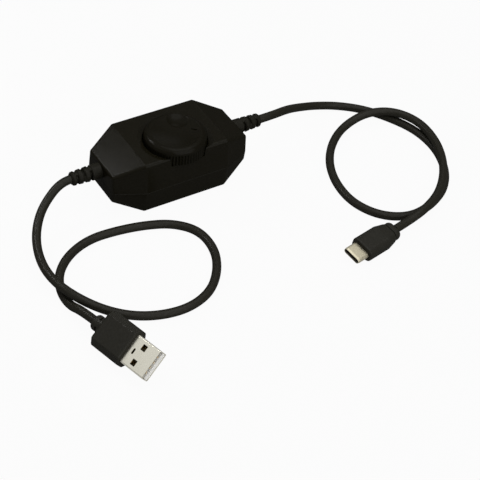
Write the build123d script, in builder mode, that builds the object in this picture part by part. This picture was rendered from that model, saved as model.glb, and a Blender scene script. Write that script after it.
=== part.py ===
from build123d import *
import os
from math import asin, cos, pi, radians, sin, sqrt, tan

# Inline rotary dimmer: a faceted two-shell case with a thumb dial, on a cord from a USB-A to a USB-C plug.
# Millimetres. The origin is the middle of the case's underside. X runs along the case towards the
# output cord, Y towards the back and Z up.

os.makedirs("parts", exist_ok=True)

# Case shells
CASE_LENGTH = 62.9
CASE_WIDTH = 32.8
CASE_HEIGHT = 24.5
MIDDLE_LENGTH = 37.6         # box-shaped middle, between the tapered ends
END_WIDTH = 21.2
END_LOW = 5.9                # lower edge of the end faces
END_HIGH = 18.6              # upper edge of the end faces
PARTING_HEIGHT = 10.8
SIDE_DRAFT = 1.25            # how far the sides lean in at the top and at the underside
EDGE_ROUND = 1.4
WALL = 1.8
SEAM_CHAMFER = 0.12
LIP_THICKNESS = 0.7
LIP_HEIGHT = 1.0
FIT_GAP = 0.1                # between fixed pieces that slot together

# Dial
DIAL_RADIUS = 13.1
DIAL_PROUD = 1.15            # how far the dial stands out past the case's widest line
DIAL_STAND = 3.5             # how far its ridge stands above the case
DIAL_HEIGHT = 7.3
DIAL_GAP = 0.4               # around the dial, and under it in the front wall
DIAL_SHOULDER = 2.6          # radius of its rounded upper edge
DIAL_RIM = 1.8               # thickness of its skirt
DIAL_TOP = 2.2               # thickness of its top at the middle
DISH_DEPTH = 1.1             # hollow of its top
DIMPLE_RADIUS = 4.0
DIMPLE_DEPTH = 0.85
DIMPLE_REACH = 6.6           # from the dial's axis
DIMPLE_ANGLE = 54            # degrees from X
MARK_SIZE = 1.6
MARK_DEPTH = 0.25
MARK_REACH = 7.5
MARK_ANGLE = -17
KNURL_COUNT = 64
KNURL_DEPTH = 0.35
KNURL_HEIGHT = 4.8
BOSS_RADIUS = 4.4
BOSS_DROP = 0.8              # how far the boss hangs below the skirt
OPENING_BEVEL = 2.1          # width of the shallow cone around the opening
OPENING_BEVEL_DEPTH = 0.5

# Screws and their posts
SCREW_RADIUS = 1.0
SCREW_FIT = 0.05
SCREW_PASS = 0.25
SCREW_HEAD_RADIUS = 1.9
SCREW_HEAD_HEIGHT = 1.4
SCREW_RECESS = 4.0
SCREW_GRIP = 6.0             # length in the upper shell
SCREW_SETBACK = 3.6          # from the end of the case's middle
CROSS_WIDTH = 0.5
CROSS_DEPTH = 0.7
BOSS_WALL = 1.4
POST_WALL = 0.9
POST_GAP = 0.3

# Circuit board
BOARD_UNDER = 4.6
BOARD_THICKNESS = 1.6
BOARD_MARGIN = 1.0
NOTCH_GAP = 0.5
BOARD_POST_RADIUS = 1.5
BOARD_POST_PITCH_X = 20.0
BOARD_POST_PITCH_Y = 18.0

# Potentiometer
POT_RADIUS = 6.6
POT_SKIN = 0.5
POT_BASE_THICKNESS = 1.4
POT_COVER_HEIGHT = 8.0
BUSHING_RADIUS = 3.9
BUSHING_GAP = 1.0
SHAFT_RADIUS = 3.0
SHAFT_FLAT = 2.3             # from the axis to the flat
SHAFT_FIT = 0.05
HUB_RADIUS = 4.4
HUB_GAP = 0.3
WIPER_THICKNESS = 0.4
WIPER_LIFT = 0.4
WIPER_REACH = 5.2
WIPER_WIDTH = 3.0
TERMINAL_RADIUS = 0.45
TERMINAL_GAP = 0.1
TERMINAL_PITCH = 4.0
TERMINAL_TAIL = 0.8

# Parts on the board
CHIP_LENGTH = 5.0
CHIP_WIDTH = 4.0
CHIP_HEIGHT = 1.6
CHIP_STAND = 0.2
CHIP_LEGS = 4
LEG_PITCH = 1.27
LEG_WIDTH = 0.42
LEG_REACH = 1.0
LEG_THICKNESS = 0.25
CHIP_PLACE = (-4.0, 7.4)
MOSFET_LENGTH = 6.1
MOSFET_WIDTH = 6.6
MOSFET_HEIGHT = 2.3
MOSFET_TAB = 1.2
MOSFET_TAB_THICKNESS = 0.5
MOSFET_PLACE = (10.2, 1.0)
CAPACITOR_RADIUS = 3.1
CAPACITOR_HEIGHT = 7.5
CAPACITOR_GROOVE = 0.3
CAPACITOR_PLACE = (-11.6, -6.0)
DIODE_LENGTH = 4.4
DIODE_WIDTH = 2.6
DIODE_HEIGHT = 2.2
DIODE_LEAN = 5               # degrees
DIODE_PLACE = (6.0, 8.6)
RESISTOR_LENGTH = 2.0
RESISTOR_WIDTH = 1.25
RESISTOR_HEIGHT = 0.5
RESISTOR_PITCH = 2.6
RESISTOR_COUNT = 4
RESISTOR_PLACE = (-10.6, 3.4)
WIRE_RADIUS = 0.55
WIRE_PITCH = 1.6             # where the wires leave the strain relief
PAD_PITCH = 3.0
PAD_INSET = 2.0
WIRE_RISE = 4.4
WIRE_BEND = 1.8

# Strain reliefs
RELIEF_LENGTH = 12.9
RELIEF_DROP = 3.9            # from the end face's upper edge to the axis
RELIEF_Y = 1.0
COLLAR_RADIUS = 3.3
COLLAR_LENGTH = 3.6
RELIEF_TIP_RADIUS = 2.85
RELIEF_TIP_ROUND = 0.5
RELIEF_CORE_RADIUS = 1.85
RELIEF_SLOTS = 3
SLOT_WIDTH = 0.95
SLOT_BRIDGE = 2.4            # left uncut between a station's two slots
SLOT_LEAD = 0.35             # sloping edge beside each slot
SLOT_PITCH = 3.0
FIRST_SLOT = 4.2             # from the end face to the first slot
NECK_RADIUS = 2.35
FLANGE_RADIUS = 3.2
FLANGE_THICKNESS = 1.2
FLANGE_GAP = 0.3

# Cords: the points of each route, from the strain relief to the plug
CORD_RADIUS = 1.8
INPUT_EXIT_RUN = 4.5         # straight run out of each strain relief
OUTPUT_EXIT_RUN = 7.5
BEND_SHARE = 0.45            # part of the shorter run that a bend takes

# USB-A plug, measured along its own axis from the end of its neck
USB_A_ROLL = 37              # degrees about its axis
USB_A_NECK_RADIUS = 3.2
USB_A_NECK_LENGTH = 4.4
USB_A_NECK_ROUND = 0.7
USB_A_POCKET = 0.8           # length of the four pockets around the neck
USB_A_POCKET_REACH = 2.5
USB_A_POCKET_BRIDGE = 3.0    # left uncut between neighbouring pockets
USB_A_NECK_CORE = 2.6
USB_A_WIDTH = 15.4
USB_A_THICKNESS = 8.0
USB_A_LENGTH = 15.7
USB_A_BEVEL = 2.3
USB_A_EDGE = 0.7
USB_A_BACK_ROUND = 1.3
USB_A_SHELL_WIDTH = 12.0
USB_A_SHELL_HEIGHT = 4.5
USB_A_SHELL_CORNER = 0.6
USB_A_SHELL_WALL = 0.3
USB_A_SHELL_REACH = 11.9
USB_A_EMBED = 8.0
WINDOW_WIDTH = 2.4
WINDOW_LENGTH = 2.2
WINDOW_PITCH = 6.4
WINDOW_REACH = 5.4
LATCH_SLOT_LENGTH = 2.4
LATCH_SLOT_WIDTH = 0.9
LATCH_SLOT_REACH = 2.4
USB_A_TONGUE_HEIGHT = 1.9
USB_A_TONGUE_SETBACK = 0.15
USB_A_BLOCK_LENGTH = 6.0
USB_A_CONTACT_SETBACK = 1.0
USB_A_CONTACT_WIDTH = 1.0
USB_A_CONTACT_LENGTH = 8.2
USB_A_CONTACT_THICKNESS = 0.15
USB_A_CONTACT_PITCH = 2.3
USB_A_CONTACTS = 4

# USB-C plug, measured along its own axis from the end of its neck
USB_C_ROLL = -10             # degrees about its axis
USB_C_COLLAR_WIDTH = 8.2
USB_C_COLLAR_THICKNESS = 5.4
USB_C_COLLAR_LENGTH = 3.4
USB_C_COLLAR_ROUND = 1.9
USB_C_GROOVE = 0.6
USB_C_GROOVE_DEPTH = 0.35
USB_C_SHOULDER = 4.2
USB_C_WAIST_WIDTH = 8.9      # where the shoulder meets the groove
USB_C_WAIST_THICKNESS = 5.8
USB_C_WIDTH = 10.8
USB_C_THICKNESS = 6.4
USB_C_CORNER = 2.5
USB_C_LENGTH = 11.6
USB_C_EDGE = 0.7
USB_C_SHELL_WIDTH = 8.34
USB_C_SHELL_HEIGHT = 2.56
USB_C_SHELL_WALL = 0.28
USB_C_SHELL_REACH = 5.7
USB_C_LEAD = 0.9             # length of the taper at the shell's mouth
USB_C_LEAD_DEPTH = 0.15
USB_C_EMBED = 6.0
USB_C_MOUTH_WIDTH = 6.7
USB_C_MOUTH_HEIGHT = 1.3
USB_C_MOUTH_DEPTH = 5.2
USB_C_SETBACK = 0.3
USB_C_CONTACTS = 12
USB_C_CONTACT_PITCH = 0.5
USB_C_CONTACT_WIDTH = 0.26
USB_C_CONTACT_LENGTH = 4.4
USB_C_CONTACT_THICKNESS = 0.12
PLUG_FIT = 0.05              # between a shell and what it is set in

# Heights and places that follow from these sizes
relief_z = END_HIGH - RELIEF_DROP
relief_end = CASE_LENGTH / 2 + RELIEF_LENGTH
relief_hole = NECK_RADIUS + FIT_GAP
flange_face = CASE_LENGTH / 2 - WALL - FIT_GAP / 2
dial_y = DIAL_RADIUS - DIAL_PROUD - CASE_WIDTH / 2
dial_top = CASE_HEIGHT + DIAL_STAND
dial_bottom = dial_top - DIAL_HEIGHT
dial_ceiling = dial_top - DISH_DEPTH - DIAL_TOP
boss_bottom = dial_bottom - BOSS_DROP
opening_radius = DIAL_RADIUS + DIAL_GAP
lip_inset = WALL + FIT_GAP
post_radius = SCREW_HEAD_RADIUS + SCREW_PASS + POST_WALL
screw_boss_radius = SCREW_RADIUS + BOSS_WALL
screw_x = MIDDLE_LENGTH / 2 - SCREW_SETBACK
screw_y = CASE_WIDTH / 2 - lip_inset - LIP_THICKNESS - POST_GAP - screw_boss_radius
screw_places = [(-screw_x, screw_y), (screw_x, -screw_y)]
board_length = MIDDLE_LENGTH - 2 * BOARD_MARGIN
board_width = CASE_WIDTH - 2 * (WALL + SIDE_DRAFT + BOARD_MARGIN)
board_top = BOARD_UNDER + BOARD_THICKNESS
pot_top = board_top + POT_COVER_HEIGHT
base_top = board_top + POT_BASE_THICKNESS
wiper_bottom = base_top + WIPER_LIFT
hub_bottom = wiper_bottom + WIPER_THICKNESS
hub_top = pot_top - POT_SKIN - HUB_GAP
bushing_top = boss_bottom - BUSHING_GAP
shaft_top = dial_ceiling - HUB_GAP
dial_axis = Axis((0, dial_y, 0), (0, 0, 1))

INPUT_ROUTE = [
    (-relief_end, RELIEF_Y, relief_z),
    (-relief_end - INPUT_EXIT_RUN, RELIEF_Y, relief_z),
    (-57.1, -2.6, 10.6),
    (-63.3, -8.4, 8.4),
    (-68.5, -17.0, 6.1),
    (-71.7, -28.1, 5.3),
    (-72.2, -39.9, 6.2),
    (-68.8, -51.2, 6.4),
    (-61.5, -59.9, 4.0),
    (-52.3, -66.2, 2.0),
    (-41.8, -70.8, 1.85),
    (-30.2, -72.0, 1.85),
    (-18.9, -68.1, 1.85),
    (-10.4, -59.1, 1.85),
    (-5.4, -48.4, 1.85),
    (-5.5, -36.3, 1.85),
    (-12.8, -28.0, 1.85),
    (-23.3, -23.9, 1.85),
    (-35.3, -21.7, 1.85),
    (-47.2, -21.3, 1.85),
    (-58.1, -25.4, 1.85),
    (-66.2, -32.6, 1.85),
    (-70.3, -41.5, 1.85),
    (-70.7, -50.4, 1.95),
    (-69.4, -58.2, 5.6),
    (-67.6, -66.3, 6.3),
]
OUTPUT_ROUTE = [
    (relief_end, RELIEF_Y, relief_z),
    (relief_end + OUTPUT_EXIT_RUN, RELIEF_Y, relief_z),
    (61.5, 4.6, 11.8),
    (70.8, 8.2, 7.3),
    (81.0, 9.9, 3.6),
    (91.5, 7.4, 1.85),
    (100.8, 0.0, 1.85),
    (108.0, -10.2, 1.85),
    (113.4, -22.0, 1.85),
    (114.2, -35.2, 1.85),
    (110.2, -48.0, 1.85),
    (102.3, -58.7, 1.85),
    (90.9, -65.3, 1.85),
    (77.7, -67.8, 1.85),
    (66.5, -61.9, 1.85),
    (60.4, -50.2, 1.85),
    (60.9, -36.5, 1.85),
    (65.8, -23.9, 1.85),
    (74.4, -13.5, 1.85),
    (85.3, -6.4, 2.2),
    (97.3, -5.9, 5.4),
    (108.4, -10.3, 6.0),
    (114.8, -20.9, 5.8),
    (114.2, -34.2, 5.8),
    (109.2, -46.8, 5.8),
    (101.6, -57.4, 5.8),
    (91.9, -65.6, 5.9),
    (81.5, -70.1, 5.6),
    (71.9, -71.5, 3.9),
    (65.2, -72.84, 3.9),
]


# Case shells
def case_form(inset, low, high):
    """The faceted outline of the case, drawn in by an inset, between two heights."""
    taper_run = (CASE_LENGTH - MIDDLE_LENGTH) / 2
    taper = (CASE_WIDTH - END_WIDTH) / 2 / taper_run
    with BuildPart() as form:
        with BuildSketch(Plane.XY.offset(low)):
            Rectangle(CASE_LENGTH - 2 * inset, CASE_WIDTH)
        extrude(amount=high - low)
        for flat, end_level, up in ((0, END_LOW, -1), (CASE_HEIGHT, END_HIGH, 1)):
            lean = up * SIDE_DRAFT / abs(flat - PARTING_HEIGHT)
            for end in (-1, 1):
                slope = Vector(end * abs(flat - end_level), 0, up * taper_run).normalized()
                corner = Vector(end * MIDDLE_LENGTH / 2, 0, flat)
                split(bisect_by=Plane(corner - slope * inset, z_dir=slope), keep=Keep.BOTTOM)
                for side in (-1, 1):
                    corner = Vector(end * MIDDLE_LENGTH / 2, side * CASE_WIDTH / 2, PARTING_HEIGHT)
                    for along in (0, end * taper):
                        normal = Vector(along, side, lean).normalized()
                        split(bisect_by=Plane(corner - normal * inset, z_dir=normal), keep=Keep.BOTTOM)
    return form.part


case_core = case_form(EDGE_ROUND, EDGE_ROUND, CASE_HEIGHT - EDGE_ROUND)
upper_cavity = case_form(WALL, PARTING_HEIGHT, CASE_HEIGHT - WALL)
lower_cavity = case_form(WALL, WALL, PARTING_HEIGHT - LIP_HEIGHT)
lip_outside = case_form(lip_inset, PARTING_HEIGHT, PARTING_HEIGHT + LIP_HEIGHT)
lip_inside = case_form(lip_inset + LIP_THICKNESS, PARTING_HEIGHT - LIP_HEIGHT, PARTING_HEIGHT + LIP_HEIGHT)

with BuildPart() as case_outside:
    add(case_core)
    offset(amount=EDGE_ROUND, kind=Kind.ARC)

with BuildPart() as upper_case:
    add(case_outside.part)
    split(bisect_by=Plane.XY.offset(PARTING_HEIGHT), keep=Keep.TOP)
    chamfer(upper_case.faces().sort_by(Axis.Z)[0].outer_wire().edges(), SEAM_CHAMFER)
    add(upper_cavity, mode=Mode.SUBTRACT)
    with BuildSketch(Plane.XY.offset(PARTING_HEIGHT)):
        with Locations(*screw_places):
            Circle(screw_boss_radius)
    extrude(amount=CASE_HEIGHT - WALL / 2 - PARTING_HEIGHT)
    with BuildSketch(Plane.XY.offset(PARTING_HEIGHT)):
        with Locations(*screw_places):
            Circle(SCREW_RADIUS + SCREW_FIT)
    extrude(amount=SCREW_GRIP + POST_GAP, mode=Mode.SUBTRACT)
    with BuildSketch(Plane.XY.offset(dial_bottom - DIAL_GAP)):
        with Locations((0, dial_y)):
            Circle(opening_radius)
    extrude(amount=DIAL_HEIGHT, mode=Mode.SUBTRACT)
    with Locations((0, dial_y, CASE_HEIGHT)):
        Cone(
            opening_radius,
            opening_radius + OPENING_BEVEL,
            OPENING_BEVEL_DEPTH,
            align=(Align.CENTER, Align.CENTER, Align.MAX),
            mode=Mode.SUBTRACT,
        )
    for end in (-1, 1):
        with BuildSketch(Plane.YZ.offset(end * (CASE_LENGTH / 2 - 2 * WALL))):
            with Locations((RELIEF_Y, relief_z)):
                Circle(relief_hole)
            with Locations((RELIEF_Y, (relief_z + PARTING_HEIGHT - WALL) / 2)):
                Rectangle(2 * relief_hole, relief_z - PARTING_HEIGHT + WALL)
        extrude(amount=end * 3 * WALL, mode=Mode.SUBTRACT)

with BuildPart() as lower_case:
    add(case_outside.part)
    split(bisect_by=Plane.XY.offset(PARTING_HEIGHT), keep=Keep.BOTTOM)
    chamfer(lower_case.faces().sort_by(Axis.Z)[-1].outer_wire().edges(), SEAM_CHAMFER)
    add(lip_outside)
    add(lip_inside, mode=Mode.SUBTRACT)
    add(lower_cavity, mode=Mode.SUBTRACT)
    with BuildSketch(Plane.XY.offset(WALL / 2)):
        with Locations(*screw_places):
            Circle(post_radius)
    extrude(amount=PARTING_HEIGHT - WALL / 2)
    with BuildSketch(Plane.XY.offset(WALL / 2)):
        with GridLocations(BOARD_POST_PITCH_X, BOARD_POST_PITCH_Y, 2, 2):
            Circle(BOARD_POST_RADIUS)
    extrude(amount=BOARD_UNDER - WALL / 2)
    for end in (-1, 1):
        # A tongue closes the upper shell's slot under each strain relief
        with BuildSketch(Plane.YZ.offset(end * (CASE_LENGTH / 2 - WALL))):
            with Locations((RELIEF_Y, (relief_z + PARTING_HEIGHT - LIP_HEIGHT) / 2)):
                Rectangle(2 * NECK_RADIUS, relief_z - PARTING_HEIGHT + LIP_HEIGHT)
        extrude(amount=end * WALL)
        with BuildSketch(Plane.YZ.offset(end * (CASE_LENGTH / 2 - 2 * WALL))):
            with Locations((RELIEF_Y, relief_z)):
                Circle(relief_hole)
        extrude(amount=end * 3 * WALL, mode=Mode.SUBTRACT)
        with BuildSketch(Plane.YZ.offset(end * (CASE_LENGTH / 2 - WALL))):
            with Locations((RELIEF_Y, relief_z)):
                Circle(FLANGE_RADIUS + FLANGE_GAP)
        extrude(amount=-end * (FLANGE_THICKNESS + FLANGE_GAP), mode=Mode.SUBTRACT)
    with Locations(Plane.XY.rotated((180, 0, 0))):
        with Locations(*[(x, -y) for x, y in screw_places]):
            CounterBoreHole(
                radius=SCREW_RADIUS + SCREW_PASS,
                counter_bore_radius=SCREW_HEAD_RADIUS + SCREW_PASS,
                counter_bore_depth=SCREW_RECESS,
            )

with BuildPart() as case_screws:
    with BuildSketch(Plane.XY.offset(SCREW_RECESS - SCREW_HEAD_HEIGHT)):
        with Locations(*screw_places):
            Circle(SCREW_HEAD_RADIUS)
    extrude(amount=SCREW_HEAD_HEIGHT)
    with BuildSketch(Plane.XY.offset(SCREW_RECESS)):
        with Locations(*screw_places):
            Circle(SCREW_RADIUS)
    extrude(amount=PARTING_HEIGHT - SCREW_RECESS + SCREW_GRIP)
    with BuildSketch(Plane.XY.offset(SCREW_RECESS - SCREW_HEAD_HEIGHT)):
        with Locations(*screw_places):
            Rectangle(SCREW_HEAD_RADIUS, CROSS_WIDTH)
            Rectangle(CROSS_WIDTH, SCREW_HEAD_RADIUS)
    extrude(amount=CROSS_DEPTH, mode=Mode.SUBTRACT)


# Dial
def polar(reach, angle):
    """A point in plan, measured from the dial's axis."""
    return reach * cos(radians(angle)), dial_y + reach * sin(radians(angle))


# The dish is a shallow bowl that runs smoothly into the rounded ridge
ridge_radius = DIAL_RADIUS - DIAL_SHOULDER
dish_bottom = dial_top - DISH_DEPTH
dish_sphere = (ridge_radius**2 + DISH_DEPTH**2) / (2 * DISH_DEPTH) - DIAL_SHOULDER
dish_edge = ridge_radius * dish_sphere / (dish_sphere + DIAL_SHOULDER)
dish_half = dish_sphere * sin(asin(dish_edge / dish_sphere) / 2)


def dish_height(reach):
    """The height of the dish's surface at a distance from the dial's axis."""
    return dish_bottom + dish_sphere - sqrt(dish_sphere**2 - reach**2)


dimple_sphere = (DIMPLE_RADIUS**2 + DIMPLE_DEPTH**2) / (2 * DIMPLE_DEPTH)
dimple_height = dish_height(DIMPLE_REACH)
mark_height = dish_height(MARK_REACH)

with BuildPart() as dial:
    with BuildSketch(Plane.XZ.offset(-dial_y)):
        with BuildLine():
            Line((0, dial_ceiling), (0, dish_bottom))
            ThreePointArc(
                (0, dish_bottom),
                (dish_half, dish_height(dish_half)),
                (dish_edge, dish_height(dish_edge)),
            )
            ThreePointArc(
                (dish_edge, dish_height(dish_edge)),
                (ridge_radius, dial_top),
                (DIAL_RADIUS, dial_top - DIAL_SHOULDER),
            )
            Polyline(
                (DIAL_RADIUS, dial_top - DIAL_SHOULDER),
                (DIAL_RADIUS, dial_bottom),
                (DIAL_RADIUS - DIAL_RIM, dial_bottom),
                (DIAL_RADIUS - DIAL_RIM, dial_ceiling),
                (0, dial_ceiling),
            )
        make_face()
    revolve(axis=dial_axis)
    with BuildSketch(Plane.XY.offset(boss_bottom)):
        with Locations((0, dial_y)):
            Circle(BOSS_RADIUS)
    extrude(amount=dial_ceiling - boss_bottom)
    with BuildSketch(Plane.XY.offset(boss_bottom)):
        with Locations((0, dial_y)):
            Circle(SHAFT_RADIUS + SHAFT_FIT)
        with Locations((SHAFT_FLAT + SHAFT_FIT + SHAFT_RADIUS, dial_y)):
            Rectangle(2 * SHAFT_RADIUS, 2 * BOSS_RADIUS, mode=Mode.SUBTRACT)
    extrude(amount=dial_ceiling - boss_bottom, mode=Mode.SUBTRACT)
    with BuildSketch(Plane.XY.offset(dial_bottom)):
        with Locations((0, dial_y)):
            with PolarLocations(DIAL_RADIUS, KNURL_COUNT):
                RegularPolygon(KNURL_DEPTH, 4)
    extrude(amount=KNURL_HEIGHT, mode=Mode.SUBTRACT)
    with Locations((*polar(DIMPLE_REACH, DIMPLE_ANGLE), dimple_height - DIMPLE_DEPTH + dimple_sphere)):
        Sphere(dimple_sphere, mode=Mode.SUBTRACT)
    with BuildSketch(Plane.XY.offset(mark_height - MARK_DEPTH)):
        with Locations(polar(MARK_REACH, MARK_ANGLE)):
            RegularPolygon(MARK_SIZE, 3, rotation=MARK_ANGLE)
    extrude(amount=DISH_DEPTH, mode=Mode.SUBTRACT)


# Circuit board and potentiometer
terminal_places = [(place * TERMINAL_PITCH, dial_y) for place in (-1, 0, 1)]

with BuildPart() as circuit_board:
    with BuildSketch(Plane.XY.offset(BOARD_UNDER)):
        Rectangle(board_length, board_width)
        for x, y in screw_places:
            notch_x = board_length / 2 - abs(x) + post_radius + NOTCH_GAP
            notch_y = board_width / 2 - abs(y) + post_radius + NOTCH_GAP
            with Locations((board_length / 2 * x / abs(x), board_width / 2 * y / abs(y))):
                Rectangle(2 * notch_x, 2 * notch_y, mode=Mode.SUBTRACT)
        with Locations(*terminal_places):
            Circle(TERMINAL_RADIUS + TERMINAL_GAP, mode=Mode.SUBTRACT)
    extrude(amount=BOARD_THICKNESS)

with BuildPart() as pot_base:
    with BuildSketch(Plane.XY.offset(board_top)):
        with Locations((0, dial_y)):
            Circle(POT_RADIUS - POT_SKIN - FIT_GAP)
    extrude(amount=POT_BASE_THICKNESS)

with BuildPart() as pot_terminals:
    with BuildSketch(Plane.XY.offset(BOARD_UNDER - TERMINAL_TAIL)):
        with Locations(*terminal_places):
            Circle(TERMINAL_RADIUS)
    extrude(amount=BOARD_THICKNESS + TERMINAL_TAIL)

with BuildPart() as pot_cover:
    with BuildSketch(Plane.XY.offset(board_top)):
        with Locations((0, dial_y)):
            Circle(POT_RADIUS)
    extrude(amount=POT_COVER_HEIGHT)
    with BuildSketch(Plane.XY.offset(board_top)):
        with Locations((0, dial_y)):
            Circle(POT_RADIUS - POT_SKIN)
    extrude(amount=POT_COVER_HEIGHT - POT_SKIN, mode=Mode.SUBTRACT)
    with BuildSketch(Plane.XY.offset(pot_top - POT_SKIN)):
        with Locations((0, dial_y)):
            Circle(BUSHING_RADIUS)
    extrude(amount=bushing_top - pot_top + POT_SKIN)
    with BuildSketch(Plane.XY.offset(pot_top - POT_SKIN)):
        with Locations((0, dial_y)):
            Circle(SHAFT_RADIUS + SHAFT_FIT)
    extrude(amount=bushing_top - pot_top + POT_SKIN, mode=Mode.SUBTRACT)

with BuildPart() as pot_shaft:
    with BuildSketch(Plane.XY.offset(hub_bottom)):
        with Locations((0, dial_y)):
            Circle(HUB_RADIUS)
    extrude(amount=hub_top - hub_bottom)
    with BuildSketch(Plane.XY.offset(hub_top)):
        with Locations((0, dial_y)):
            Circle(SHAFT_RADIUS)
    extrude(amount=shaft_top - hub_top)
    with BuildSketch(Plane.XY.offset(boss_bottom - BUSHING_GAP / 2)):
        with Locations((SHAFT_FLAT + SHAFT_RADIUS, dial_y)):
            Rectangle(2 * SHAFT_RADIUS, 2 * SHAFT_RADIUS)
    extrude(amount=shaft_top - boss_bottom + BUSHING_GAP / 2, mode=Mode.SUBTRACT)

with BuildPart() as pot_wiper:
    with BuildSketch(Plane.XY.offset(wiper_bottom)):
        with Locations((0, dial_y)):
            SlotOverall(2 * WIPER_REACH, WIPER_WIDTH)
            Circle(HUB_RADIUS)
    extrude(amount=WIPER_THICKNESS)


# Parts on the board
with BuildPart() as pwm_chip:
    with BuildSketch(Plane.XY.offset(board_top + CHIP_STAND)):
        with Locations(CHIP_PLACE):
            Rectangle(CHIP_LENGTH, CHIP_WIDTH)
    extrude(amount=CHIP_HEIGHT - CHIP_STAND)
    with BuildSketch(Plane.XY.offset(board_top)):
        with Locations(CHIP_PLACE):
            with GridLocations(LEG_PITCH, CHIP_WIDTH + LEG_REACH, CHIP_LEGS, 2):
                Rectangle(LEG_WIDTH, LEG_REACH)
    extrude(amount=LEG_THICKNESS)
    with BuildSketch(Plane.XY.offset(board_top)):
        with Locations(CHIP_PLACE):
            with GridLocations(LEG_PITCH, CHIP_WIDTH, CHIP_LEGS, 2):
                Rectangle(LEG_WIDTH, LEG_REACH / 2)
    extrude(amount=CHIP_HEIGHT / 2)

with BuildPart() as mosfet:
    with BuildSketch(Plane.XY.offset(board_top)):
        with Locations(MOSFET_PLACE):
            Rectangle(MOSFET_LENGTH, MOSFET_WIDTH)
    extrude(amount=MOSFET_HEIGHT)
    with BuildSketch(Plane.XY.offset(board_top)):
        with Locations(MOSFET_PLACE):
            Rectangle(MOSFET_LENGTH - 2 * MOSFET_TAB_THICKNESS, MOSFET_WIDTH + 2 * MOSFET_TAB)
    extrude(amount=MOSFET_TAB_THICKNESS)

with BuildPart() as capacitor:
    with BuildSketch(Plane.XY.offset(board_top)):
        with Locations(CAPACITOR_PLACE):
            Circle(CAPACITOR_RADIUS)
    extrude(amount=CAPACITOR_HEIGHT)
    fillet(capacitor.edges().group_by(Axis.Z)[-1], CAPACITOR_GROOVE)
    with BuildSketch(Plane.XY.offset(board_top + CAPACITOR_HEIGHT)):
        with Locations(CAPACITOR_PLACE):
            Rectangle(CAPACITOR_RADIUS, CAPACITOR_GROOVE)
            Rectangle(CAPACITOR_GROOVE, CAPACITOR_RADIUS)
    extrude(amount=-CAPACITOR_GROOVE, mode=Mode.SUBTRACT)

with BuildPart() as diode:
    with BuildSketch(Plane.XY.offset(board_top)):
        with Locations(DIODE_PLACE):
            Rectangle(DIODE_LENGTH, DIODE_WIDTH)
    extrude(amount=DIODE_HEIGHT, taper=DIODE_LEAN)

with BuildPart() as resistors:
    with BuildSketch(Plane.XY.offset(board_top)):
        with Locations(RESISTOR_PLACE):
            with GridLocations(0, RESISTOR_PITCH, 1, RESISTOR_COUNT):
                Rectangle(RESISTOR_LENGTH, RESISTOR_WIDTH)
    extrude(amount=RESISTOR_HEIGHT)


def inner_wire(end, side):
    """One insulated wire from a strain relief's inner face down to its pad on the board."""
    start = Vector(end * (flange_face - FLANGE_THICKNESS), RELIEF_Y + side * WIRE_PITCH / 2, relief_z)
    pad = Vector(end * (board_length / 2 - PAD_INSET), RELIEF_Y + side * PAD_PITCH / 2, board_top)
    level = Vector((start.X + pad.X) / 2, start.Y, start.Z)
    above_pad = pad + Vector(0, 0, WIRE_RISE)
    with BuildPart() as wire:
        with BuildLine():
            FilletPolyline(start, level, above_pad, pad, radius=WIRE_BEND)
        with BuildSketch(Plane(start, z_dir=level - start)):
            Circle(WIRE_RADIUS)
        sweep()
    return wire


input_wire_positive = inner_wire(-1, 1)
input_wire_negative = inner_wire(-1, -1)
output_wire_positive = inner_wire(1, 1)
output_wire_negative = inner_wire(1, -1)


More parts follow.
